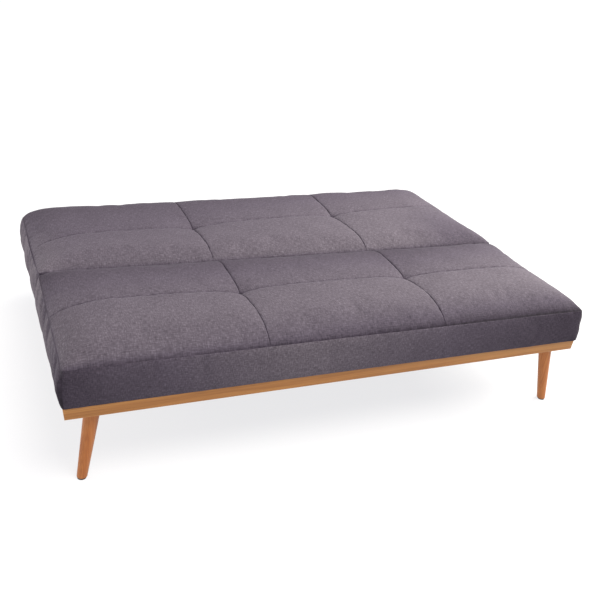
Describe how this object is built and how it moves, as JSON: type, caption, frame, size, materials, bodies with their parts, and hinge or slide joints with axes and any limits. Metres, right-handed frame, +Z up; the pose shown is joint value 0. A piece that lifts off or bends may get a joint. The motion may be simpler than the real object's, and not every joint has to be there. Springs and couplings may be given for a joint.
{
  "type": "futon sofa bed",
  "caption": "Click-clack sofa bed lying flat: tufted seat and fold-up back on a wooden base with splayed tapered legs.",
  "frame": {"origin": "on the floor, under the middle of the lying surface with the back flat", "axes": "+Z up; +X along the front rail from the left end to the right end as seen from the front; -Y is the front edge, +Y the end that folds up"},
  "size_m": [1.8, 1.19, 0.435],
  "materials": {
    "rail_wood": "satin",
    "leg_wood": "satin",
    "frame_wood": "matte",
    "slat_wood": "satin",
    "slat_holder_plastic": "matte",
    "cover_fabric": "matte",
    "dust_cloth": "matte",
    "cushion_foam": "matte",
    "zinc_steel": "satin",
    "spring_steel": "satin",
    "pad_rubber": "matte",
    "glide_plastic": "matte"
  },
  "bodies": {
    "base": {"base_bearer_left": "frame_wood", "base_bearer_right": "frame_wood", "base_middle_rail": "frame_wood", "base_rear_rail": "frame_wood", "base_screws": "zinc_steel", "corner_brackets": "zinc_steel", "fixing_brackets": "zinc_steel", "foot_glide_front_left": "glide_plastic", "foot_glide_front_right": "glide_plastic", "foot_glide_rear_left": "glide_plastic", "foot_glide_rear_right": "glide_plastic", "front_rail": "rail_wood", "hinge_pins": "zinc_steel", "leg_bolts": "zinc_steel", "leg_front_left": "leg_wood", "leg_front_right": "leg_wood", "leg_plate_front_left": "zinc_steel", "leg_plate_front_right": "zinc_steel", "leg_plate_rear_left": "zinc_steel", "leg_plate_rear_right": "zinc_steel", "leg_plate_screws": "zinc_steel", "leg_rear_left": "leg_wood", "leg_rear_right": "leg_wood", "pawl_pins": "zinc_steel", "pawl_spring_left": "spring_steel", "pawl_spring_right": "spring_steel", "rest_pads": "pad_rubber", "seat_cover": "cover_fabric", "seat_dust_cover": "dust_cloth", "seat_foam": "cushion_foam", "seat_frame_bolts": "zinc_steel", "seat_frame_front": "frame_wood", "seat_frame_left": "frame_wood", "seat_frame_rear": "frame_wood", "seat_frame_right": "frame_wood", "seat_hinge_bolts": "zinc_steel", "seat_hinge_plate_left": "zinc_steel", "seat_hinge_plate_right": "zinc_steel", "seat_slat_holders": "slat_holder_plastic", "seat_slats": "slat_wood"},
    "back": {"back_cover": "cover_fabric", "back_dust_cover": "dust_cloth", "back_foam": "cushion_foam", "back_frame_front": "frame_wood", "back_frame_left": "frame_wood", "back_frame_rear": "frame_wood", "back_frame_right": "frame_wood", "back_hinge_bolts": "zinc_steel", "back_hinge_plate_left": "zinc_steel", "back_hinge_plate_right": "zinc_steel", "back_slat_holders": "slat_holder_plastic", "back_slats": "slat_wood"},
    "pawl_left": {"hinge_pawl_left": "zinc_steel"},
    "pawl_right": {"hinge_pawl_right": "zinc_steel"}
  },
  "joints": [
    {"name": "back_fold", "type": "hinge", "parent": "base", "child": "back", "pos_m": [0, -0.033, 0.399], "axis": [1, 0, 0], "range_deg": [0, 84]},
    {"name": "pawl_left_drop", "type": "hinge", "parent": "base", "child": "pawl_left", "pos_m": [-0.855, -0.06797, 0.34303], "axis": [1, 0, 0], "range_deg": [0, 12], "deforming": ["pawl_spring_left"]},
    {"name": "pawl_right_drop", "type": "hinge", "parent": "base", "child": "pawl_right", "pos_m": [0.855, -0.06797, 0.34303], "axis": [1, 0, 0], "range_deg": [0, 12], "deforming": ["pawl_spring_right"]}
  ],
  "couplings": [
    {"joint": "pawl_right_drop", "follows": "pawl_left_drop", "ratio": 1}
  ]
}
